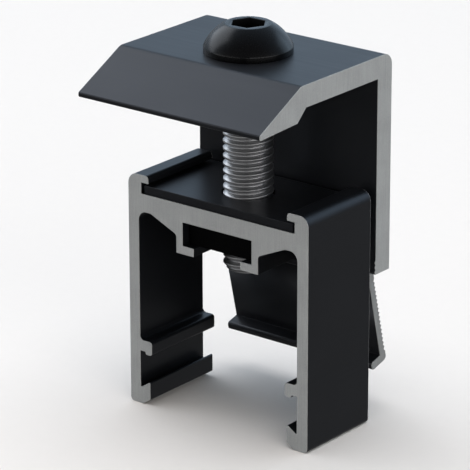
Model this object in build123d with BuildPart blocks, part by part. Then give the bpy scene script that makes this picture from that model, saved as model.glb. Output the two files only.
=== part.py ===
"""Solar end clamp: holds the outer edge of a framed solar module down on a mounting rail.

An extruded base straddles the rail head, and its two legs hook under the rail flanges.
An L-shaped top clamp, pulled down by one bolt, presses its nose on the module frame.
A square nut in the base takes the bolt. A toothed spring tongue behind the base guides
the leg of the top clamp, and holds it at its height until the bolt is tight.

Millimetres. X runs across the rail, Y along it with the module on the -Y side, Z is up.
The origin is on the bolt axis, at the level of the feet of the base.
"""

from build123d import *
from math import cos, radians, sin, tan
import os

# The module that the clamp is tightened on
MODULE_FRAME = 45.0  # height of the module frame, from the rail head to the nose

# The base, an extrusion along Y
BASE_WIDTH = 35.64
BASE_HEIGHT = 38.9
BASE_DEPTH = 16.06
LEG_WALL = 2.07
WEB_THICKNESS = 3.0
SHOULDER_RADIUS = 1.75  # outer top corners
FOOT_RADIUS = 0.75  # outer bottom corners
CEILING_RADIUS = 1.5  # where the web meets the legs inside
CEILING_FLAT = 2.43  # level stretch between a leg and the gusset beside the nut channel
GUSSET_DROP = 2.3
GUSSET_RADIUS = 0.7

# The slot over the web that takes the plate of the tongue
SLOT_WALL = 2.62  # between the slot and the side of the base
SLOT_SIDE_GAP = 0.5  # each side of the plate
SLOT_HEIGHT = 1.82
SLOT_LIP = 1.3  # thickness over the slot
SLOT_LIP_REACH = 1.48  # how far the lip stands over the slot at each side
SLOT_LIP_RADIUS = 0.6

# The channel under the web that holds the square nut
NUT_SIDE_GAP = 0.15
NUT_TOP_GAP = 0.22
CHANNEL_WALL = 1.27
CHANNEL_LIP = 1.4
CHANNEL_LIP_REACH = 2.23

# The shelf in each leg that rests on the rail head, with a down-turned edge
SHELF_UNDERSIDE = 9.08
SHELF_THICKNESS = 1.87
SHELF_REACH = 2.4
SHELF_LIP_WIDTH = 1.35
SHELF_LIP_DROP = 0.48
SHELF_ROOT_RADIUS = 0.7
SHELF_NOSE_RADIUS = 0.5
SHELF_EDGE_RADIUS = 0.35

# The barb at each foot that hooks under the rail flange
BARB_REACH = 1.97
BARB_VALLEY_WIDTH = 0.25
BARB_VALLEY_HEIGHT = 2.88
BARB_RISE = 1.17
BARB_SIDE_BOTTOM = 1.0
BARB_FLAT = 0.48
BARB_TIP_RADIUS = 0.2

# The spring tongue, a strip with its plate in the slot and its blade behind the base
STRIP_THICKNESS = 1.4
PLATE_SETBACK = 0.23  # behind the front of the base
BLADE_STANDOFF = 0.27  # between the back of the base and the upright blade
BLADE_LEAN = 13.6  # degrees from upright, below the leg of the top clamp
KICK_SLOPE = 18.0  # degrees below level, where the blade steps out under that leg
KICK_CLEARANCE = 0.3  # between the step and the end of the leg
HEEL_BACK = 7.39  # from the back of the base to the inside of the heel
HEEL_HEIGHT = 8.33
FOOT_LENGTH = 2.49
FOOT_SLOPE = 15.2  # degrees below level
BEND_RADIUS = 1.3
HEEL_RADIUS = 0.7
FOOT_TIP_RADIUS = 0.5
KICK_RADIUS = 0.4

# The teeth shared by the tongue and the leg of the top clamp
TOOTH_PITCH = 0.8
TOOTH_DEPTH = 0.26
TOOTH_GAP = 0.06  # between meshed teeth, along Y
LEG_TEETH = 3
KNEE_MARGIN = 0.95  # plain strip between the knee and the first groove below it
UPRIGHT_TEETH_TOP = 3.0  # how far below the plate the teeth may start

# The top clamp, an extrusion along X
CLAMP_WIDTH = 35.36
CLAMP_WALL = 3.6
LEG_LENGTH = 35.65
NOSE_REACH = 19.75  # from the bolt axis to the front of the nose
FOLD_REACH = 9.65  # from the bolt axis to the start of the slope
NOSE_EDGE = 0.81  # height of the front edge of the nose
GRIP_REACH = 9.17  # depth of the face under the nose that grips the module
GRIP_SLOPE = 2.7  # degrees, this face drops forwards to its tip
THROAT_REACH = 8.46
THROAT_DROP = 1.99
FOLD_RADIUS = 2.0
BACK_RADIUS = 2.0
NOSE_RADIUS = 0.35
LEG_END_RADIUS = 0.2

# The clamp bolt, a button head with a hexagon socket
BOLT_DIAMETER = 8.0
CREST_UNDERSIZE = 0.02  # the crests of the thread are this much under size, on the radius
BOLT_LENGTH = 35.35
BOLT_TIP_CHAMFER = 0.4
HEAD_DIAMETER = 14.0
HEAD_HEIGHT = 4.5
HEAD_RIM = 0.9
HEAD_FLAT = 7.35
SOCKET_SIZE = 5.0  # across flats
SOCKET_DEPTH = 2.9
SOCKET_CONE = 0.7
SOCKET_TURN = 4.0  # degrees, how the bolt happens to stand
BOLT_HOLE = 9.0  # clearance hole in the top clamp and the web
PLATE_HOLE = 8.4  # clearance hole in the plate of the tongue

# The square nut
NUT_SIZE = 13.4
NUT_THICKNESS = 3.7
NUT_BORE_GAP = 0.07  # between the crests of the bolt and the wall of the bore
NUT_CORNER_RADIUS = 0.4
NUT_BORE_CHAMFER = 0.5

# Places that several pieces share
base_half = BASE_WIDTH / 2
base_back = BASE_DEPTH / 2
slot_half = base_half - SLOT_WALL
tongue_half = slot_half - SLOT_SIDE_GAP
web_top = BASE_HEIGHT - SLOT_LIP - SLOT_HEIGHT
ceiling = web_top - WEB_THICKNESS
channel_floor = ceiling - NUT_TOP_GAP - NUT_THICKNESS
bolt_radius = BOLT_DIAMETER / 2 - CREST_UNDERSIZE
blade_front = base_back + BLADE_STANDOFF
blade_back = blade_front + STRIP_THICKNESS
leg_front = blade_back + TOOTH_GAP
leg_back = leg_front + CLAMP_WALL
grip_tip = SHELF_UNDERSIDE + MODULE_FRAME
grip_heel = grip_tip + GRIP_REACH * tan(radians(GRIP_SLOPE))
clamp_ceiling = grip_heel + THROAT_DROP
clamp_top = clamp_ceiling + CLAMP_WALL
leg_bottom = clamp_top - LEG_LENGTH

SAME_PLACE = 0.01


def corners(sketch, *places):
    """The corners of a sketch that stand at these places."""
    found = [
        v for v in sketch.vertices()
        if any(abs(v.X - x) < SAME_PLACE and abs(v.Y - y) < SAME_PLACE for x, y in places)
    ]
    if len(found) < len(places):
        raise ValueError(f"a corner is missing among {places}")
    return found


def cut_teeth(start, heading, count):
    """V grooves side by side in a face that runs from start at a heading, in degrees."""
    with Locations(Location((*start, 0), (0, 0, heading))):
        with Locations(*[(n * TOOTH_PITCH, 0) for n in range(count)]):
            Polygon((0, 0), (TOOTH_PITCH / 2, -TOOTH_DEPTH), (TOOTH_PITCH, 0), mode=Mode.SUBTRACT)


# Rail base: inverted U with plate slot, nut channel, rail shelves and barbs, one extrusion
leg_inner = base_half - LEG_WALL
slot_top = web_top + SLOT_HEIGHT
lip_inner = slot_half - SLOT_LIP_REACH
channel_half = NUT_SIZE / 2 + NUT_SIDE_GAP
channel_outer = channel_half + CHANNEL_WALL
channel_mouth = channel_half - CHANNEL_LIP_REACH
channel_bottom = channel_floor - CHANNEL_LIP
gusset_end = ceiling - GUSSET_DROP
shelf_top = SHELF_UNDERSIDE + SHELF_THICKNESS
shelf_nose = leg_inner - SHELF_REACH
shelf_edge = SHELF_UNDERSIDE - SHELF_LIP_DROP
shelf_lip_back = shelf_nose + SHELF_LIP_WIDTH
barb_tip = leg_inner - BARB_REACH
barb_top = BARB_VALLEY_HEIGHT + BARB_RISE

with BuildPart() as rail_base:
    with BuildSketch(Plane.XZ) as base_profile:
        with BuildLine():
            Polyline(
                (0, web_top),
                (slot_half, web_top),
                (slot_half, slot_top),
                (lip_inner, slot_top),
                (lip_inner, BASE_HEIGHT),
                (base_half, BASE_HEIGHT),
                (base_half, 0),
                (leg_inner - BARB_FLAT, 0),
                (barb_tip, BARB_SIDE_BOTTOM),
                (barb_tip, barb_top),
                (leg_inner - BARB_VALLEY_WIDTH, BARB_VALLEY_HEIGHT),
                (leg_inner, BARB_VALLEY_HEIGHT),
                (leg_inner, SHELF_UNDERSIDE),
                (shelf_lip_back, SHELF_UNDERSIDE),
                (shelf_lip_back, shelf_edge),
                (shelf_nose, shelf_edge),
                (shelf_nose, shelf_top),
                (leg_inner, shelf_top),
                (leg_inner, ceiling),
                (leg_inner - CEILING_FLAT, ceiling),
                (channel_outer, gusset_end),
                (channel_outer, channel_bottom),
                (channel_mouth, channel_bottom),
                (channel_mouth, channel_floor),
                (channel_half, channel_floor),
                (channel_half, ceiling),
                (0, ceiling),
                close=True,
            )
        make_face()
        fillet(corners(base_profile, (base_half, BASE_HEIGHT)), SHOULDER_RADIUS)
        fillet(corners(base_profile, (base_half, 0)), FOOT_RADIUS)
        fillet(corners(base_profile, (lip_inner, BASE_HEIGHT)), SLOT_LIP_RADIUS)
        fillet(corners(base_profile, (leg_inner, ceiling)), CEILING_RADIUS)
        fillet(corners(base_profile, (channel_outer, gusset_end)), GUSSET_RADIUS)
        fillet(corners(base_profile, (leg_inner, shelf_top)), SHELF_ROOT_RADIUS)
        fillet(
            corners(base_profile, (shelf_nose, shelf_top), (shelf_nose, shelf_edge)),
            SHELF_NOSE_RADIUS,
        )
        fillet(corners(base_profile, (shelf_lip_back, shelf_edge)), SHELF_EDGE_RADIUS)
        fillet(corners(base_profile, (barb_tip, barb_top)), BARB_TIP_RADIUS)
        mirror(about=Plane.YZ)
    extrude(amount=base_back, both=True)
    with Locations((0, 0, web_top)):
        Hole(BOLT_HOLE / 2)

rail_base.part.label = "rail_base"

# Spring tongue: plate, upright blade, step under the leg, leaning blade and foot, one bent strip
lean = radians(BLADE_LEAN)
kick = radians(KICK_SLOPE)
foot = radians(FOOT_SLOPE)
heel = (base_back + HEEL_BACK, HEEL_HEIGHT)
toe = (heel[0] - FOOT_LENGTH * cos(foot), heel[1] - FOOT_LENGTH * sin(foot))
# the upper face of the step leaves the back of the upright blade just under the leg
step_top = leg_bottom - KICK_CLEARANCE
step = (blade_front, step_top - STRIP_THICKNESS * tan((radians(90) - kick) / 2))
# the step ends where its lower face meets the front of the leaning blade
step_reach = heel[0] - step[0] - (step[1] - heel[1]) * tan(lean)
step_reach /= 1 - tan(kick) * tan(lean)
knee = (step[0] + step_reach, step[1] - step_reach * tan(kick))
# the grooves of the upright blade are in step with the teeth of the leg
upright_teeth = int((web_top - UPRIGHT_TEETH_TOP - leg_bottom) / TOOTH_PITCH)
# the grooves of the leaning blade run down its back from the knee
outer_knee = Vector(*knee) + Vector(cos(lean), sin(lean)) * STRIP_THICKNESS
outer_heel = Vector(*heel) + Vector(cos(lean), sin(lean)) * STRIP_THICKNESS
knee_margin = KNEE_MARGIN - STRIP_THICKNESS * tan((radians(90) - lean - kick) / 2)
teeth_start = outer_knee + (outer_heel - outer_knee).normalized() * knee_margin

with BuildPart() as spring_tongue:
    with BuildSketch(Plane.YZ) as tongue_profile:
        with BuildLine():
            front_faces = Polyline(
                (PLATE_SETBACK - base_back, web_top),
                (blade_front, web_top),
                step,
                knee,
                heel,
                toe,
            )
            offset(
                front_faces,
                amount=STRIP_THICKNESS,
                side=Side.LEFT,
                kind=Kind.INTERSECTION,
                closed=True,
            )
        make_face()
        fillet(corners(tongue_profile, (blade_back, web_top + STRIP_THICKNESS)), BEND_RADIUS)
        fillet(corners(tongue_profile, step), KICK_RADIUS)
        fillet(tongue_profile.vertices().sort_by(Axis.X)[-1], HEEL_RADIUS)
        fillet(
            [tongue_profile.vertices().sort_by(Axis.Y)[0], *corners(tongue_profile, toe)],
            FOOT_TIP_RADIUS,
        )
        cut_teeth(
            (blade_back, leg_bottom + upright_teeth * TOOTH_PITCH),
            heading=-90,
            count=upright_teeth,
        )
        cut_teeth(
            (teeth_start.X, teeth_start.Y),
            heading=BLADE_LEAN - 90,
            count=int((outer_heel - teeth_start).length / TOOTH_PITCH),
        )
    extrude(amount=tongue_half, both=True)
    with Locations((0, 0, web_top + STRIP_THICKNESS)):
        Hole(PLATE_HOLE / 2, STRIP_THICKNESS)

spring_tongue.part.label = "spring_tongue"

# Top clamp: sloping nose, flat top under the bolt head, toothed rear leg, one extrusion
nose_top = grip_tip + NOSE_EDGE

with BuildPart() as top_clamp:
    with BuildSketch(Plane.YZ) as clamp_profile:
        with BuildLine():
            Polyline(
                (-FOLD_REACH, clamp_top),
                (leg_back, clamp_top),
                (leg_back, leg_bottom),
                (leg_front, leg_bottom),
                (leg_front, clamp_ceiling),
                (-THROAT_REACH, clamp_ceiling),
                (GRIP_REACH - NOSE_REACH, grip_heel),
                (-NOSE_REACH, grip_tip),
                (-NOSE_REACH, nose_top),
                close=True,
            )
        make_face()
        fillet(corners(clamp_profile, (-FOLD_REACH, clamp_top)), FOLD_RADIUS)
        fillet(corners(clamp_profile, (leg_back, clamp_top)), BACK_RADIUS)
        fillet(corners(clamp_profile, (leg_back, leg_bottom)), LEG_END_RADIUS)
        fillet(
            corners(clamp_profile, (-NOSE_REACH, grip_tip), (-NOSE_REACH, nose_top)),
            NOSE_RADIUS,
        )
        with Locations(*[(leg_front, leg_bottom + n * TOOTH_PITCH) for n in range(LEG_TEETH)]):
            Polygon((0, 0), (0, TOOTH_PITCH), (-TOOTH_DEPTH, TOOTH_PITCH / 2))
    extrude(amount=CLAMP_WIDTH / 2, both=True)
    with Locations((0, 0, clamp_top)):
        Hole(BOLT_HOLE / 2, CLAMP_WALL)

top_clamp.part.label = "top_clamp"

# Clamp bolt: button head, shank at the size of the thread's crests, hexagon socket
head_half = HEAD_DIAMETER / 2
flat_half = HEAD_FLAT / 2
rim_top = clamp_top + HEAD_RIM
head_top = clamp_top + HEAD_HEIGHT
bolt_tip = clamp_top - BOLT_LENGTH
# the crown is a zone of a ball that is centred on the axis, this far below the rim
crown = HEAD_HEIGHT - HEAD_RIM
ball_drop = (head_half**2 - flat_half**2 - crown**2) / (2 * crown)
ball_radius = (head_half**2 + ball_drop**2) ** 0.5

with BuildPart() as clamp_bolt:
    with BuildSketch(Plane.XZ):
        with BuildLine():
            Polyline(
                (flat_half, head_top),
                (0, head_top),
                (0, bolt_tip),
                (bolt_radius - BOLT_TIP_CHAMFER, bolt_tip),
                (bolt_radius, bolt_tip + BOLT_TIP_CHAMFER),
                (bolt_radius, clamp_top),
                (head_half, clamp_top),
                (head_half, rim_top),
            )
            RadiusArc((head_half, rim_top), (flat_half, head_top), -ball_radius)
        make_face()
    revolve(axis=Axis.Z)
    with BuildSketch(Plane.XY.offset(head_top)):
        RegularPolygon(SOCKET_SIZE / 2, side_count=6, major_radius=False, rotation=SOCKET_TURN)
    extrude(amount=-SOCKET_DEPTH, mode=Mode.SUBTRACT)
    with Locations((0, 0, head_top - SOCKET_DEPTH)):
        Cone(
            bottom_radius=0,
            top_radius=SOCKET_SIZE / 2,
            height=SOCKET_CONE,
            align=(Align.CENTER, Align.CENTER, Align.MAX),
            mode=Mode.SUBTRACT,
        )

clamp_bolt.part.label = "clamp_bolt"

# Square nut: lies on the lips of the channel and can't turn in it
with BuildPart() as square_nut:
    with BuildSketch(Plane.XY.offset(channel_floor)):
        RectangleRounded(NUT_SIZE, NUT_SIZE, NUT_CORNER_RADIUS)
    extrude(amount=NUT_THICKNESS)
    with Locations((0, 0, channel_floor + NUT_THICKNESS)):
        Hole(bolt_radius + NUT_BORE_GAP)
    bore_edges = square_nut.faces().filter_by(GeomType.CYLINDER).sort_by(SortBy.AREA)[-1].edges()
    chamfer(bore_edges.filter_by(GeomType.CIRCLE), NUT_BORE_CHAMFER)

square_nut.part.label = "square_nut"

os.makedirs("parts", exist_ok=True)
for piece in (rail_base, spring_tongue, top_clamp, clamp_bolt, square_nut):
    export_step(piece.part, f"parts/{piece.part.label}.step")
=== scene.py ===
"""Looks of the solar end clamp: finishes, edges, bolt head and thread, and the studio.

Metres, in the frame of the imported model. X runs across the rail, Y along it, Z is up.
"""

from math import cos, pi, radians, sin, sqrt

import bpy
from bpy.props import FloatProperty, FloatVectorProperty, IntProperty, PointerProperty
from mathutils import Euler, Matrix, Vector


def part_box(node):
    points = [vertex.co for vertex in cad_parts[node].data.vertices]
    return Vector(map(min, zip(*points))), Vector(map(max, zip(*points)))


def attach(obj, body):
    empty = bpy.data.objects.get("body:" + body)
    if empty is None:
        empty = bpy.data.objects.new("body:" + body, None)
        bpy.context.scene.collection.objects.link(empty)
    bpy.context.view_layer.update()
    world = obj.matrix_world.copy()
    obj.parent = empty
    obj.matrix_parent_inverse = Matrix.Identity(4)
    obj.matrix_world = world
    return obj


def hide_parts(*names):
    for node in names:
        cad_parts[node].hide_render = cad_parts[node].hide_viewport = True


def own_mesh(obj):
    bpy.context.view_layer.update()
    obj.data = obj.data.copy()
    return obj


bl_info = {
    "name": "Solar End Clamp",
    "version": (1, 0, 0),
    "blender": (4, 5, 0),
    "location": "3D View > Sidebar > End Clamp",
    "description": "Dresses the packed model of a solar end clamp and sets up its studio",
    "category": "Object",
}

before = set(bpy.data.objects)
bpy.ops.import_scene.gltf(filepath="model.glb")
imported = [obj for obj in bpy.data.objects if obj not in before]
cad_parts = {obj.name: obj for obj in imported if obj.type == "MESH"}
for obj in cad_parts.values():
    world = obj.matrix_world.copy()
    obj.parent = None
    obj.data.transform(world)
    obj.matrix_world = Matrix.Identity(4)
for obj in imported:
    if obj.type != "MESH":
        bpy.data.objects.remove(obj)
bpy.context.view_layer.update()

MM = 0.001
WELD = 0.001 * MM
SAME_HEIGHT = 0.02 * MM
# edges that turn by more than this are broken, and the second leaves out the points of teeth
MOST_EDGES = radians(40)
SQUARE_EDGES = radians(70)


# Shader maths


class Wire:
    """A node's output in an expression, so that 1 - wire * 0.5 adds its Math nodes."""

    def __init__(self, finish, socket):
        self.finish = finish
        self.socket = socket

    def math(self, operation, first, second):
        return self.finish.node("Math", {"operation": operation}, {0: first, 1: second})

    def __add__(self, other):
        return self.math("ADD", self, other)

    def __radd__(self, other):
        return self.math("ADD", other, self)

    def __sub__(self, other):
        return self.math("SUBTRACT", self, other)

    def __rsub__(self, other):
        return self.math("SUBTRACT", other, self)

    def __mul__(self, other):
        return self.math("MULTIPLY", self, other)

    def __rmul__(self, other):
        return self.math("MULTIPLY", other, self)


class Finish:
    """A node tree that is being built, for a material or for the world."""

    def __init__(self, tree):
        self.tree = tree
        tree.nodes.clear()

    def node(self, kind, settings=None, values=None, output=0):
        """Adds a shader node with its settings, then the values or wires of its sockets."""
        node = self.tree.nodes.new("ShaderNode" + kind)
        for name, value in (settings or {}).items():
            setattr(node, name, value)
        for name, value in (values or {}).items():
            if isinstance(value, Wire):
                self.tree.links.new(value.socket, node.inputs[name])
            else:
                node.inputs[name].default_value = value
        return Wire(self, node.outputs[output]) if len(node.outputs) else None

    def noise(self, size, detail=3.0, roughness=0.5):
        """Noise from 0 to 1 whose features have this size along X, Y and Z."""
        place = self.node("TexCoord", output="Object")
        scale = tuple(1 / s for s in size)
        scaled = self.node("Mapping", None, {"Vector": place, "Scale": scale})
        values = {"Vector": scaled, "Scale": 1.0, "Detail": detail, "Roughness": roughness}
        return self.node("TexNoise", None, values)

    def between(self, share, first, second):
        """A colour between two colours or wires."""
        first, second = (c if isinstance(c, Wire) else (*c, 1) for c in (first, second))
        return self.node("Mix", {"data_type": "RGBA"}, {0: share, 6: first, 7: second}, output=2)

    def bump(self, height, distance, strength=1.0):
        """A normal from a height map."""
        values = {"Height": height, "Distance": distance, "Strength": strength}
        return self.node("Bump", None, values, output="Normal")

    def principled(self, **values):
        """The surface, with sockets named in lower case with underscores."""
        sockets = {
            name.replace("_", " ").title().replace("Ior", "IOR"): value
            for name, value in values.items()
        }
        surface = self.node("BsdfPrincipled", None, sockets)
        self.node("OutputMaterial", None, {"Surface": surface})


# Finishes: noise averages 0.5, so each keeps about the colour and the roughness of its setting


def tinted(colour, amount):
    """A colour made lighter or darker."""
    return tuple(min(1.0, c * amount) for c in colour[:3])


def even(size):
    """A feature size that is the same along X, Y and Z."""
    return (size, size, size)


def stretched(fine, along, axis):
    """A feature size that is fine across an extrusion and long along it."""
    return tuple(along if axis[i] else fine for i in range(3))


def new_material(name):
    """An empty material and its finish."""
    material = bpy.data.materials.new(name)
    material.use_nodes = True
    return material, Finish(material.node_tree)


def anodised(name, axis):
    """Black anodised aluminium with faint die lines along the extrusion."""
    look = bpy.context.scene.clamp_finishes
    colour = look.anodised_colour
    material, finish = new_material(name)
    lines = finish.noise(stretched(0.35 * MM, 30 * MM, axis), detail=4.0)
    fine_lines = finish.noise(stretched(0.09 * MM, 9 * MM, axis), detail=2.0)
    clouds = finish.noise(even(9 * MM), detail=2.0)
    grain = finish.noise(even(0.1 * MM), detail=2.0)
    height = lines * 0.5 + fine_lines * 0.3 + grain * 0.3
    finish.principled(
        base_color=finish.between(clouds, tinted(colour, 0.75), tinted(colour, 1.25)),
        roughness=look.anodised_roughness - 0.08 + lines * 0.1 + clouds * 0.06,
        specular_tint=(*look.anodised_sheen, 1),
        normal=finish.bump(height, 0.004 * MM, 0.5),
    )
    return material


def sawn(name, shade=1.0):
    """Bare aluminium where it was sawn, matt with a fine grain and faint upright marks."""
    look = bpy.context.scene.clamp_finishes
    colour = tinted(look.bare_colour, shade)
    material, finish = new_material(name)
    grain = finish.noise(even(0.16 * MM), detail=3.0, roughness=0.7)
    marks = finish.noise((0.2 * MM, 0.2 * MM, 5 * MM), detail=2.0)
    clouds = finish.noise(even(4 * MM), detail=2.0)
    share = grain * 0.5 + marks * 0.25 + clouds * 0.25
    finish.principled(
        base_color=finish.between(share, tinted(colour, 0.5), tinted(colour, 1.5)),
        metallic=0.25,
        roughness=look.bare_roughness - 0.1 + grain * 0.2,
        normal=finish.bump(grain * 0.7 + marks * 0.3, 0.02 * MM, 0.6),
    )
    return material


def blacked_steel(name, roughness, gloss):
    """Blacked steel with a thin even film of oil."""
    look = bpy.context.scene.clamp_finishes
    colour = look.head_colour
    material, finish = new_material(name)
    specks = finish.noise(even(0.25 * MM), detail=3.0)
    clouds = finish.noise(even(3 * MM), detail=2.0)
    finish.principled(
        base_color=finish.between(specks, tinted(colour, 0.7), tinted(colour, 1.3)),
        metallic=0.0,
        specular_ior_level=gloss,
        roughness=roughness - 0.04 + specks * 0.03 + clouds * 0.05,
        normal=finish.bump(specks, 0.002 * MM, 0.1),
    )
    return material


def rolled_thread_steel(name):
    """Bright steel of the rolled thread, with faint rings round the flanks."""
    look = bpy.context.scene.clamp_finishes
    colour = look.thread_colour
    material, finish = new_material(name)
    rings = finish.noise((2 * MM, 2 * MM, 0.06 * MM), detail=3.0)
    specks = finish.noise(even(0.2 * MM), detail=3.0)
    finish.principled(
        base_color=finish.between(specks, tinted(colour, 0.8), tinted(colour, 1.15)),
        metallic=1.0,
        roughness=look.thread_roughness - 0.06 + specks * 0.12,
        normal=finish.bump(rings * 0.6 + specks * 0.4, 0.006 * MM, 0.5),
    )
    return material


# Modelling helpers


def choose(obj):
    """Selects this object alone, and makes it the active one."""
    bpy.ops.object.select_all(action="DESELECT")
    obj.select_set(True)
    bpy.context.view_layer.objects.active = obj


def select_end(obj, side):
    """Enters edit mode with the top, 1, or the bottom, -1, of an upright cylinder selected."""
    bpy.ops.object.mode_set(mode="EDIT")
    bpy.ops.mesh.select_mode(type="FACE")
    bpy.ops.mesh.select_all(action="DESELECT")
    bpy.ops.object.mode_set(mode="OBJECT")
    for face in obj.data.polygons:
        face.select = face.normal.z * side > 0.9
    bpy.ops.object.mode_set(mode="EDIT")


def apply_modifier(obj, kind, **settings):
    """Adds a modifier and applies it, which leaves the object chosen."""
    choose(obj)
    modifier = obj.modifiers.new(kind.title(), kind)
    for name, value in settings.items():
        setattr(modifier, name, value)
    bpy.ops.object.modifier_apply(modifier=modifier.name)


def copy_of_node(node, name):
    """A merged copy of a CAD node, with one face for each flat."""
    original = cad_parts[node]
    obj = bpy.data.objects.new(name, original.data.copy())
    obj.data.name = name
    bpy.context.scene.collection.objects.link(obj)
    choose(obj)
    bpy.ops.object.mode_set(mode="EDIT")
    bpy.ops.mesh.select_all(action="SELECT")
    bpy.ops.mesh.remove_doubles(threshold=WELD)
    bpy.ops.mesh.dissolve_limited(angle_limit=radians(0.5))
    bpy.ops.object.mode_set(mode="OBJECT")
    obj.data.materials.clear()
    return obj


def break_edges(obj, width, sharper_than=MOST_EDGES):
    """Breaks the sharp edges, as tumbling and anodising do."""
    apply_modifier(
        obj,
        "BEVEL",
        width=width,
        segments=2,
        limit_method="ANGLE",
        angle_limit=sharper_than,
    )
    bpy.ops.object.shade_smooth_by_angle(angle=radians(30))
    # the flats shade flat up to their broken edges
    apply_modifier(obj, "WEIGHTED_NORMAL", keep_sharp=True)


def finish_extrusion(obj, axis, skin, cut, sharper_than=MOST_EDGES):
    """The skin goes all over an extrusion, and the bare cut on its two ends."""
    width = bpy.context.scene.clamp_finishes.edge_width
    break_edges(obj, width, sharper_than)
    obj.data.materials.append(skin)
    obj.data.materials.append(cut)
    along = Vector(axis)
    places = [vertex.co.dot(along) for vertex in obj.data.vertices]
    low = min(places) + width
    high = max(places) - width
    for face in obj.data.polygons:
        if not low < face.center.dot(along) < high:
            face.material_index = 1


def stand_in(obj, body, slot, *nodes):
    """A finished piece rides on its body and stands for CAD nodes."""
    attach(obj, body)
    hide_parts(*nodes)


# Settings


def colour_setting(name, description, default):
    return FloatVectorProperty(
        name=name, description=description, subtype="COLOR", size=3, min=0, max=1, default=default
    )


def roughness_setting(name, default):
    return FloatProperty(
        name=name,
        description="From mirror to matt",
        subtype="FACTOR",
        min=0,
        max=1,
        default=default,
    )


def length_setting(name, description, default):
    return FloatProperty(name=name, description=description, unit="LENGTH", default=default)


def angle_setting(name, description, degrees):
    return FloatProperty(
        name=name,
        description=description,
        subtype="ANGLE",
        unit="ROTATION",
        default=radians(degrees),
    )


class ClampFinishes(bpy.types.PropertyGroup):
    """Colours and gloss of the metals."""

    anodised_colour: colour_setting(
        "Anodised colour", "Black anodised skin of the aluminium", (0.004, 0.0045, 0.0055)
    )
    anodised_sheen: colour_setting(
        "Anodised sheen", "Tint of the light that the anodised skin reflects", (0.9, 0.92, 1.0)
    )
    anodised_roughness: roughness_setting("Anodised roughness", 0.38)
    bare_colour: colour_setting(
        "Bare aluminium", "Sawn ends of the aluminium pieces", (0.327, 0.335, 0.332)
    )
    bare_roughness: roughness_setting("Bare roughness", 0.6)
    edge_width: length_setting("Edge width", "Width of the broken edges", 0.09 * MM)
    head_colour: colour_setting(
        "Bolt head colour", "Blacked steel of the bolt's head and the nut", (0.0006, 0.0006, 0.0008)
    )
    head_roughness: roughness_setting("Bolt head roughness", 0.27)
    thread_colour: colour_setting(
        "Thread colour", "Bright steel of the thread", (0.52, 0.52, 0.525)
    )
    thread_roughness: roughness_setting("Thread roughness", 0.39)


class ClampBolt(bpy.types.PropertyGroup):
    """Sizes of the bolt that its CAD node doesn't give."""

    rim: length_setting("Rim height", "Straight side of the head, under the crown", 0.9 * MM)
    flat: length_setting("Flat diameter", "Flat ring on top of the head", 7.35 * MM)
    socket: length_setting("Socket size", "Across the flats of the hexagon", 5 * MM)
    socket_depth: length_setting("Socket depth", "Down to the drilled cone", 2.9 * MM)
    socket_turn: angle_setting("Socket turn", "How the bolt happens to stand", 4)
    pitch: length_setting("Thread pitch", "Rise of the thread in one turn", 1.25 * MM)
    root_radius: length_setting("Root radius", "Radius at the bottom of the thread", 3.3 * MM)
    crest_radius: length_setting("Crest radius", "Radius over the crests", 3.98 * MM)
    thread_turn: angle_setting("Thread turn", "Where the thread starts, round the axis", 125)
    steps: IntProperty(
        name="Steps a turn", description="Flat steps in one turn of the thread", min=12, default=48
    )


class ClampStage(bpy.types.PropertyGroup):
    """Camera, sky and floor."""

    azimuth: angle_setting(
        "Azimuth", "Camera's turn round the clamp, from the module's side", 38.422
    )
    elevation: angle_setting("Elevation", "Camera's angle over the floor", 19.8517)
    roll: angle_setting("Roll", "Camera's turn about its own line of sight", -0.1255)
    distance: length_setting("Distance", "From the camera to the aim", 524.545 * MM)
    lens: FloatProperty(
        name="Lens", description="Focal length on a 36 mm sensor, in millimetres", default=255.86
    )
    aim: FloatVectorProperty(
        name="Aim",
        description="The point that the camera looks at",
        subtype="XYZ",
        unit="LENGTH",
        size=3,
        default=(-1.65 * MM, -1.3276 * MM, 29.959 * MM),
    )
    floor_colour: colour_setting("Floor colour", "Plain pale floor", (0.79, 0.75, 0.713))
    sky: FloatProperty(
        name="Sky", description="Strength of the even light from all round", min=0, default=0.6
    )


# Pieces


class CLAMP_OT_rail_base(bpy.types.Operator):
    """Dresses the extruded base: black skin, bare sawn front and back"""

    bl_idname = "clamp.rail_base"
    bl_label = "Rail base"

    def execute(self, context):
        along = (0, 1, 0)
        obj = copy_of_node("rail_base", "rail_base_dressed")
        finish_extrusion(obj, along, anodised("base_skin", along), sawn("base_cut"))
        stand_in(obj, "base", "black_anodised", "rail_base")
        return {"FINISHED"}


class CLAMP_OT_top_clamp(bpy.types.Operator):
    """Dresses the extruded top clamp: black skin, bare sawn ends"""

    bl_idname = "clamp.top_clamp"
    bl_label = "Top clamp"

    def execute(self, context):
        along = (1, 0, 0)
        obj = copy_of_node("top_clamp", "top_clamp_dressed")
        skin = anodised("clamp_skin", along)
        finish_extrusion(obj, along, skin, sawn("clamp_cut"), SQUARE_EDGES)
        stand_in(obj, "clamp", "black_anodised", "top_clamp")
        return {"FINISHED"}


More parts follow.
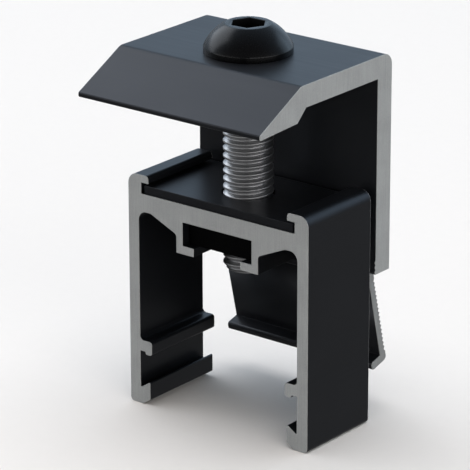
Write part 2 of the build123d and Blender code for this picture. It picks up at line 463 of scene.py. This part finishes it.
class CLAMP_OT_spring_tongue(bpy.types.Operator):
    """Dresses the toothed strip, cut in four lengths"""

    bl_idname = "clamp.spring_tongue"
    bl_label = "Spring tongue"

    end_shade = 0.75
    # the cuts lie this far under the top of the strip and under the end of the leg
    plate_drop = 1.7 * MM
    knee_drop = 2.85 * MM
    step_gap = 0.4 * MM
    blade_tilt = radians(20)
    blade_anchor = (0, 2.44 * MM, 22 * MM)
    upright_keep = 0.85
    step_keep = 0.2
    blade_keep = 0.55

    def length(self, strip, name, above=None, below=None):
        """One length of the strip, between two heights."""
        obj = bpy.data.objects.new(name, strip.data.copy())
        bpy.context.scene.collection.objects.link(obj)
        choose(obj)
        cuts = ((above, {"clear_inner": True}), (below, {"clear_outer": True}))
        for height, side in cuts:
            if height is not None:
                bpy.ops.object.mode_set(mode="EDIT")
                bpy.ops.mesh.select_all(action="SELECT")
                bpy.ops.mesh.bisect(
                    plane_co=(0, 0, height), plane_no=(0, 0, 1), use_fill=True, **side
                )
                bpy.ops.object.mode_set(mode="OBJECT")
        stand_in(obj, "base", "black_anodised", "spring_tongue")
        return obj

    def execute(self, context):
        along = (1, 0, 0)
        strip = copy_of_node("spring_tongue", "tongue_strip")
        skin = anodised("tongue_skin", along)
        cut = sawn("tongue_cut", self.end_shade)
        finish_extrusion(strip, along, skin, cut, SQUARE_EDGES)
        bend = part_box("spring_tongue")[1].z - self.plate_drop
        leg_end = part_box("top_clamp")[0].z
        knee = leg_end - self.knee_drop
        plate = self.length(strip, "tongue_plate", above=bend)
        upright = self.length(strip, "tongue_upright", above=leg_end, below=bend)
        step = self.length(strip, "tongue_step", above=knee, below=leg_end)
        blade = self.length(strip, "tongue_blade", below=knee)
        bpy.data.objects.remove(strip)
        # painted shade: the bare ends of the plate and the upright, which lie in the shade of the
        # base and the leg, are given the dark skin in place of the bare cut
        for piece in (plate, upright):
            for face in piece.data.polygons:
                face.material_index = 0
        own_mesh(upright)
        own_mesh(step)
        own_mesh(blade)
        return {"FINISHED"}


class CLAMP_OT_square_nut(bpy.types.Operator):
    """Dresses the square nut in its channel"""

    bl_idname = "clamp.square_nut"
    bl_label = "Square nut"

    edge_width = 0.15 * MM

    def execute(self, context):
        obj = copy_of_node("square_nut", "square_nut_dressed")
        break_edges(obj, self.edge_width)
        obj.data.materials.append(blacked_steel("nut_steel", roughness=0.5, gloss=0.05))
        stand_in(obj, "base", "black_steel", "square_nut")
        return {"FINISHED"}


class CLAMP_OT_bolt_head(bpy.types.Operator):
    """Models the button head with its hexagon socket"""

    bl_idname = "clamp.bolt_head"
    bl_label = "Bolt head"

    sides = 96
    crown_steps = 12
    edge_width = 0.07 * MM
    # the drilled cone at the bottom of the socket: its shoulder is a share of the socket's
    # radius, and its blunt point a share of its own width
    cone_shoulder = 0.12
    cone_depth = 0.7 * MM
    cone_point = 0.05
    # the dull finish of the socket starts this far under the top
    lip = 0.1 * MM

    def corner_radius(self, bolt):
        """From the axis to a corner of the hexagon."""
        return bolt.socket / 2 / cos(pi / 6)

    def grow(self, radius, rise, radius_from):
        """Extrudes the selected top face upwards and brings it to a new radius."""
        bpy.ops.mesh.extrude_region_move(TRANSFORM_OT_translate={"value": (0, 0, rise)})
        share = radius / radius_from
        bpy.ops.transform.resize(value=(share, share, 1))

    def cut_socket(self, head, bolt, top):
        """Cuts the hexagon, with the drill's cone at its bottom."""
        corner = self.corner_radius(bolt)
        spare = 1 * MM
        bpy.ops.object.select_all(action="DESELECT")
        bpy.ops.mesh.primitive_cylinder_add(
            vertices=6,
            radius=corner,
            depth=bolt.socket_depth + spare,
            location=(0, 0, top - (bolt.socket_depth - spare) / 2),
            rotation=(0, 0, bolt.socket_turn + pi / 6),
        )
        punch = bpy.context.object
        bpy.ops.object.transform_apply(location=True, rotation=True, scale=True)
        select_end(punch, -1)
        bpy.ops.mesh.inset(thickness=corner * self.cone_shoulder)
        drop = {"value": (0, 0, -self.cone_depth)}
        bpy.ops.mesh.extrude_region_move(TRANSFORM_OT_translate=drop)
        bpy.ops.transform.resize(value=(self.cone_point, self.cone_point, 1))
        bpy.ops.object.mode_set(mode="OBJECT")
        apply_modifier(head, "BOOLEAN", object=punch, operation="DIFFERENCE", solver="EXACT")
        bpy.data.objects.remove(punch)

    def execute(self, context):
        look = context.scene.clamp_finishes
        bolt = context.scene.clamp_bolt
        low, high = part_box("clamp_bolt")
        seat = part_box("top_clamp")[1].z
        half = (high.x - low.x) / 2
        flat = bolt.flat / 2
        crown = high.z - seat - bolt.rim
        # the crown is a zone of a ball, whose centre lies this far under the rim's top
        ball_drop = (half**2 - flat**2 - crown**2) / (2 * crown)
        ball = sqrt(half**2 + ball_drop**2)
        bpy.ops.object.select_all(action="DESELECT")
        bpy.ops.mesh.primitive_cylinder_add(
            vertices=self.sides,
            radius=half,
            depth=bolt.rim,
            location=(0, 0, seat + bolt.rim / 2),
        )
        obj = context.object
        obj.name = "bolt_head"
        bpy.ops.object.transform_apply(location=True, rotation=True, scale=True)
        select_end(obj, 1)
        radius = half
        for step in range(1, self.crown_steps + 1):
            rise = crown * step / self.crown_steps
            wider = radius
            radius = sqrt(ball**2 - (ball_drop + rise) ** 2)
            self.grow(radius, crown / self.crown_steps, wider)
        bpy.ops.object.mode_set(mode="OBJECT")
        self.cut_socket(obj, bolt, high.z)
        apply_modifier(
            obj,
            "BEVEL",
            width=self.edge_width,
            segments=3,
            limit_method="ANGLE",
            angle_limit=radians(25),
        )
        bpy.ops.object.shade_smooth_by_angle(angle=radians(35))
        obj.data.materials.clear()
        obj.data.materials.append(blacked_steel("head_steel", look.head_roughness, gloss=0.33))
        # the punched socket stays dull
        obj.data.materials.append(blacked_steel("socket_steel", roughness=0.5, gloss=0.06))
        corner = self.corner_radius(bolt)
        for face in obj.data.polygons:
            middle = face.center
            if middle.xy.length < corner and seat < middle.z < high.z - self.lip:
                face.material_index = 1
        stand_in(obj, "bolt", "black_steel", "clamp_bolt")
        return {"FINISHED"}


class CLAMP_OT_bolt_thread(bpy.types.Operator):
    """Models the shank with its helical thread"""

    bl_idname = "clamp.bolt_thread"
    bl_label = "Bolt thread"

    # shares of the pitch that are flat, and the rounding of the profile's corners
    crest_share = 0.26
    root_share = 0.16
    rounding = 0.07 * MM
    tip_chamfer = 0.6 * MM
    # the shank reaches into the head, and the blank that trims it clears the crests
    into_head = 0.3 * MM
    clearance = 0.01 * MM
    blank_sides = 96

    def profile(self, points):
        """A line of edges through these points, drawn by extruding one vertex, then rounded."""
        bpy.ops.object.select_all(action="DESELECT")
        bpy.ops.mesh.primitive_plane_add(size=1 * MM)
        obj = bpy.context.object
        bpy.ops.object.mode_set(mode="EDIT")
        bpy.ops.mesh.select_mode(type="VERT")
        bpy.ops.mesh.select_all(action="SELECT")
        bpy.ops.mesh.merge(type="CENTER")
        bpy.ops.transform.translate(value=points[0])
        for before, after in zip(points, points[1:]):
            run = Vector(after) - Vector(before)
            bpy.ops.mesh.extrude_vertices_move(TRANSFORM_OT_translate={"value": run})
        bpy.ops.object.mode_set(mode="OBJECT")
        low, high = points[0][2], points[-1][2]
        for vertex in obj.data.vertices:
            vertex.select = low + SAME_HEIGHT < vertex.co.z < high - SAME_HEIGHT
        bpy.ops.object.mode_set(mode="EDIT")
        bpy.ops.mesh.bevel(offset=self.rounding, segments=3, affect="VERTICES")
        bpy.ops.object.mode_set(mode="OBJECT")
        return obj

    def trim(self, thread, bolt, tip, top):
        """Keeps what lies in a blank with a chamfered end."""
        bpy.ops.object.select_all(action="DESELECT")
        bpy.ops.mesh.primitive_cylinder_add(
            vertices=self.blank_sides,
            radius=bolt.crest_radius + self.clearance,
            depth=top - tip,
            location=(0, 0, (top + tip) / 2),
        )
        blank = bpy.context.object
        bpy.ops.object.transform_apply(location=True, rotation=True, scale=True)
        select_end(blank, -1)
        bpy.ops.mesh.bevel(offset=self.tip_chamfer, segments=1, affect="EDGES")
        bpy.ops.object.mode_set(mode="OBJECT")
        apply_modifier(thread, "BOOLEAN", object=blank, operation="INTERSECT", solver="EXACT")
        bpy.data.objects.remove(blank)

    def execute(self, context):
        bolt = context.scene.clamp_bolt
        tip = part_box("clamp_bolt")[0].z
        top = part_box("top_clamp")[1].z + self.into_head
        pitch = bolt.pitch
        root = bolt.root_radius
        crest = bolt.crest_radius
        half_root = self.root_share / 2
        flank = (1 - self.crest_share - self.root_share) / 2
        # one pitch of the profile: each point's rise over the one before, and its radius
        outline = (
            (0, root),
            (half_root, root),
            (flank, crest),
            (self.crest_share, crest),
            (flank, root),
            (half_root, root),
        )
        start = tip - 2 * pitch
        height = start
        points = []
        for share, radius in outline:
            height += share * pitch
            points.append((radius, 0, height))
        obj = self.profile(points)
        obj.name = "bolt_thread"
        apply_modifier(
            obj,
            "SCREW",
            axis="Z",
            angle=2 * pi,
            screw_offset=pitch,
            iterations=int((top - start) / pitch) + 2,
            steps=bolt.steps,
            render_steps=bolt.steps,
        )
        obj.data.transform(Matrix.Rotation(bolt.thread_turn, 4, "Z"))
        bpy.ops.object.mode_set(mode="EDIT")
        bpy.ops.mesh.select_all(action="SELECT")
        bpy.ops.mesh.remove_doubles(threshold=2 * WELD)
        bpy.ops.mesh.fill_holes(sides=0)
        bpy.ops.mesh.normals_make_consistent(inside=False)
        bpy.ops.object.mode_set(mode="OBJECT")
        self.trim(obj, bolt, tip, top)
        bpy.ops.object.shade_smooth_by_angle(angle=radians(30))
        obj.data.materials.clear()
        obj.data.materials.append(rolled_thread_steel("thread_steel"))
        stand_in(obj, "bolt", "stainless_steel", "clamp_bolt")
        return {"FINISHED"}


class CLAMP_OT_stage(bpy.types.Operator):
    """Sets up the floor, the soft lights and the camera"""

    bl_idname = "clamp.stage"
    bl_label = "Studio"

    # name, place, size, glow, colour, and whether the metals mirror it
    softboxes = (
        ("top_softbox", (0, 0, 1.2), (1.2, 1.2), 2.65, (1, 1, 1), False),
        ("right_softbox", (0.9, -0.5, 0.4), (0.8, 0.8), 1.6, (1.0, 0.97, 0.93), False),
        ("left_softbox", (-1.0, 0.0, 0.757), (1.15, 1.0), 1.9, (0.9, 0.94, 1.0), True),
        ("back_softbox", (-0.2, 1.0, 0.3), (1.3, 0.7), 0.42, (0.6, 0.8, 1.0), True),
        ("corner_softbox", (0.4, 0.95, 0.42), (0.6, 0.6), 0.9, (0.6, 0.8, 1.0), True),
        ("front_left_strip", (-0.33, -0.9, 0.24), (1.5, 0.24), 1.55, (1, 1, 1), True),
        ("front_right_strip", (0.93, -0.25, 0.24), (1.5, 0.24), 2.5, (1, 1, 1), True),
    )
    lights_aim = (0, 0, 0.03)
    # the sky's colours, in front of the clamp and behind it
    sky_below = ((0.15, 0.15, 0.15), (0.42, 0.42, 0.42))
    sky_above = ((0.2, 0.2, 0.21), (0.63, 0.8, 1.0))
    floor_size = 6
    # the floor glows by itself far away: not at all up to here, and fully from there on
    glow_from = 0.6
    glow_full = 1.4
    floor_glow = (0.8, 0.8, 0.8)
    backdrop_radius = 2.5
    backdrop_glow = (0.9, 0.9, 0.9, 1)
    sensor_width = 36

    def softbox(self, name, place, size, glow, colour, mirrored):
        """A soft light that faces the clamp."""
        turn = (Vector(place) - Vector(self.lights_aim)).to_track_quat("Z", "Y").to_euler()
        bpy.ops.object.light_add(type="AREA", location=place, rotation=turn)
        light = bpy.context.object
        light.name = name
        light.visible_camera = False
        light.visible_glossy = mirrored
        light.data.shape = "RECTANGLE"
        light.data.size, light.data.size_y = size
        # the glow of an area light is its energy over pi and its area
        light.data.energy = glow * pi * size[0] * size[1]
        light.data.color = colour

    def sky(self, strength):
        """Even light from all round: bluish behind, dim in front and below."""
        world = bpy.data.worlds.new("studio_sky")
        world.use_nodes = True
        bpy.context.scene.world = world
        finish = Finish(world.node_tree)
        direction = finish.node("TexCoord", output="Generated")
        x, y, z = (finish.node("SeparateXYZ", None, {0: direction}, output=o) for o in "XYZ")
        # 0 in front and on the right, 1 behind and on the left
        behind = finish.node("Clamp", None, {"Value": y * 0.6 - x * 0.35 + 0.35})
        # 0 below the horizon and 1 above it, with a soft change between them
        above = finish.node("Clamp", None, {"Value": z * 4 + 0.5})
        low = finish.between(behind, *self.sky_below)
        high = finish.between(behind, *self.sky_above)
        colour = finish.between(above, low, high)
        light = finish.node("Background", None, {"Color": colour, "Strength": strength})
        finish.node("OutputWorld", None, {"Surface": light})

    def floor(self, colour):
        """A plain pale floor that the black metal doesn't mirror, and that stays pale far away."""
        bpy.ops.mesh.primitive_plane_add(size=self.floor_size)
        floor = bpy.context.object
        floor.name = "studio_floor"
        material, finish = new_material("floor_paper")
        fibres = finish.noise(even(2 * MM), detail=2.0)
        place = finish.node("TexCoord", output="Object")
        away = finish.node("VectorMath", {"operation": "LENGTH"}, {0: place}, output="Value")
        slope = 1 / (self.glow_full - self.glow_from)
        far = finish.node("Clamp", None, {"Value": away * slope - self.glow_from * slope})
        finish.principled(
            base_color=finish.between(fibres, tinted(colour, 0.99), tinted(colour, 1.01)),
            roughness=0.9,
            specular_ior_level=0.1,
            emission_color=finish.between(far, (0, 0, 0), self.floor_glow),
            emission_strength=1.0,
        )
        floor.data.materials.append(material)
        floor.visible_glossy = False

    def backdrop(self):
        """A plain pale backdrop all round, which only the camera sees."""
        bpy.ops.mesh.primitive_uv_sphere_add(radius=self.backdrop_radius)
        dome = bpy.context.object
        dome.name = "studio_backdrop"
        material, finish = new_material("backdrop_paper")
        finish.principled(
            base_color=(0, 0, 0, 1),
            specular_ior_level=0.0,
            emission_color=self.backdrop_glow,
            emission_strength=1.0,
        )
        dome.data.materials.append(material)
        dome.visible_diffuse = False
        dome.visible_glossy = False
        dome.visible_transmission = False
        dome.visible_shadow = False

    def camera(self, stage):
        """The camera at the photograph's angle."""
        tilt = Euler((pi / 2 - stage.elevation, 0, stage.azimuth)).to_matrix()
        turn = tilt @ Matrix.Rotation(stage.roll, 3, "Z")
        place = Vector(stage.aim) + turn @ Vector((0, 0, stage.distance))
        bpy.ops.object.camera_add(location=place, rotation=turn.to_euler())
        camera = bpy.context.object
        camera.name = "photo_camera"
        camera.data.lens = stage.lens
        camera.data.sensor_width = self.sensor_width
        camera.data.clip_start = 10 * MM
        bpy.context.scene.camera = camera

    def execute(self, context):
        stage = context.scene.clamp_stage
        context.scene.view_settings.view_transform = "Standard"
        self.sky(stage.sky)
        self.floor(stage.floor_colour)
        self.backdrop()
        for row in self.softboxes:
            self.softbox(*row)
        self.camera(stage)
        return {"FINISHED"}


PIECES = (
    CLAMP_OT_rail_base,
    CLAMP_OT_top_clamp,
    CLAMP_OT_spring_tongue,
    CLAMP_OT_square_nut,
    CLAMP_OT_bolt_head,
    CLAMP_OT_bolt_thread,
)


class CLAMP_PT_sidebar(bpy.types.Panel):
    """Sizes, finishes and pieces of the end clamp"""

    bl_idname = "CLAMP_PT_sidebar"
    bl_label = "End clamp"
    bl_space_type = "VIEW_3D"
    bl_region_type = "UI"
    bl_category = "End Clamp"

    def draw(self, context):
        scene = context.scene
        for group in (scene.clamp_finishes, scene.clamp_bolt, scene.clamp_stage):
            box = self.layout.box()
            for name in group.__annotations__:
                box.prop(group, name)
        for operator in (*PIECES, CLAMP_OT_stage):
            self.layout.operator(operator.bl_idname)


CLASSES = (
    ClampFinishes,
    ClampBolt,
    ClampStage,
    *PIECES,
    CLAMP_OT_stage,
    CLAMP_PT_sidebar,
)


def register():
    for cls in CLASSES:
        bpy.utils.register_class(cls)
    bpy.types.Scene.clamp_finishes = PointerProperty(type=ClampFinishes)
    bpy.types.Scene.clamp_bolt = PointerProperty(type=ClampBolt)
    bpy.types.Scene.clamp_stage = PointerProperty(type=ClampStage)


def unregister():
    del bpy.types.Scene.clamp_stage
    del bpy.types.Scene.clamp_bolt
    del bpy.types.Scene.clamp_finishes
    for cls in reversed(CLASSES):
        bpy.utils.unregister_class(cls)


def main():
    register()
    bpy.ops.clamp.rail_base()
    bpy.ops.clamp.top_clamp()
    bpy.ops.clamp.spring_tongue()
    bpy.ops.clamp.square_nut()
    bpy.ops.clamp.bolt_head()
    bpy.ops.clamp.bolt_thread()
    bpy.ops.clamp.stage()


if __name__ == "__main__":
    main()
